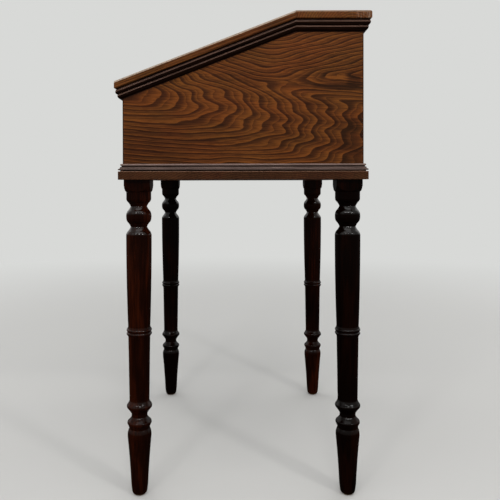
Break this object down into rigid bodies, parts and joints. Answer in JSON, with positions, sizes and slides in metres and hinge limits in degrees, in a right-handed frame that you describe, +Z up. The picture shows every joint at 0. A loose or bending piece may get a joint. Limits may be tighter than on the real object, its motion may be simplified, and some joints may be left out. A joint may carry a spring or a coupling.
{
  "type": "clerks standing desk",
  "caption": "Sloped-lid writing box with a level top along the back, beaded cornice and moulded base, standing on tall turned legs.",
  "frame": {"origin": "on the floor under the middle of the desk", "axes": "+Z up, +Y towards the high back, -Y towards the clerk, +X along the width to the clerk's right"},
  "size_m": [0.794, 0.612, 1.1762],
  "materials": {
    "carcase_oak": "dark-stained quarter and flat-sawn oak, satin polish",
    "top_oak": "dark-stained oak, worn satin polish, end grain at the ends",
    "moulded_oak": "dark-stained moulded oak, glossier on the beads",
    "turned_oak": "near-black stained turned hardwood, glossy",
    "block_wood": "unfinished softwood",
    "spigot_wedges": "plain hardwood",
    "aged_brass": "dull, darkened brass",
    "brass_screws": "slotted brass screws and pins",
    "steel_screws": "dull steel",
    "steel_pin": "dull steel",
    "lock_steel": "filed steel"
  },
  "bodies": {
    "desk": {"back_board": "carcase_oak", "base_board": "carcase_oak", "base_moulding_back": "moulded_oak", "base_moulding_front": "moulded_oak", "base_moulding_left": "moulded_oak", "base_moulding_right": "moulded_oak", "base_screws": "steel_screws", "corner_block_back_left": "block_wood", "corner_block_back_right": "block_wood", "corner_block_front_left": "block_wood", "corner_block_front_right": "block_wood", "cornice_back": "moulded_oak", "cornice_flat_left": "moulded_oak", "cornice_flat_right": "moulded_oak", "cornice_front": "moulded_oak", "cornice_slope_left": "moulded_oak", "cornice_slope_right": "moulded_oak", "end_panel_left": "carcase_oak", "end_panel_right": "carcase_oak", "escutcheon": "aged_brass", "escutcheon_pins": "brass_screws", "front_board": "carcase_oak", "hinge_fixed_leaf_left": "aged_brass", "hinge_fixed_leaf_right": "aged_brass", "hinge_pin_left": "steel_pin", "hinge_pin_right": "steel_pin", "hinge_screws_fixed": "brass_screws", "leg_back_left": "turned_oak", "leg_back_right": "turned_oak", "leg_front_left": "turned_oak", "leg_front_right": "turned_oak", "leg_wedges": "spigot_wedges", "lock_backplate": "aged_brass", "lock_case": "aged_brass", "lock_screws": "brass_screws", "top_board": "top_oak", "top_glue_blocks": "block_wood"},
    "lid": {"lid_panel": "top_oak", "lid_clamp_left": "top_oak", "lid_clamp_right": "top_oak", "hinge_lid_leaf_left": "aged_brass", "hinge_lid_leaf_right": "aged_brass", "hinge_screws_lid": "brass_screws", "link_plate": "aged_brass", "link_plate_screws": "brass_screws"},
    "lock_bolt": {"lock_bolt": "lock_steel"}
  },
  "joints": [
    {"name": "lid_hinge", "type": "hinge", "parent": "desk", "child": "lid", "pos_m": [0, 0.12575, 1.173], "axis": [-1, 0, 0], "range_deg": [0, 200]},
    {"name": "bolt_slide", "type": "slide", "parent": "desk", "child": "lock_bolt", "axis": [1, 0, 0], "range_m": [0, 0.007]}
  ]
}
